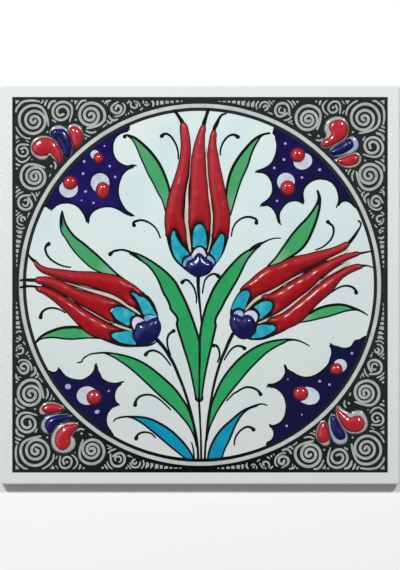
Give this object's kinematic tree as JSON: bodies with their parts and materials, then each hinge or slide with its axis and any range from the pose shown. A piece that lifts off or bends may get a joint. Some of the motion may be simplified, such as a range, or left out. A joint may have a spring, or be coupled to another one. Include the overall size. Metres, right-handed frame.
{
  "type": "hand-painted ceramic tile",
  "caption": "Square glazed ceramic tile, flat at the back, with a painted tulip bouquet in low enamel relief inside a round frame.",
  "frame": {"origin": "middle of the flat back, on which the tile lies", "axes": "+Z out of the painted face, +Y to the top of the picture, +X to its right"},
  "size_m": [0.2, 0.2, 0.0093],
  "materials": {
    "glazed_ceramic": "glossy glaze, painted"
  },
  "bodies": {
    "root": {"tile": "glazed_ceramic"}
  },
  "joints": []
}
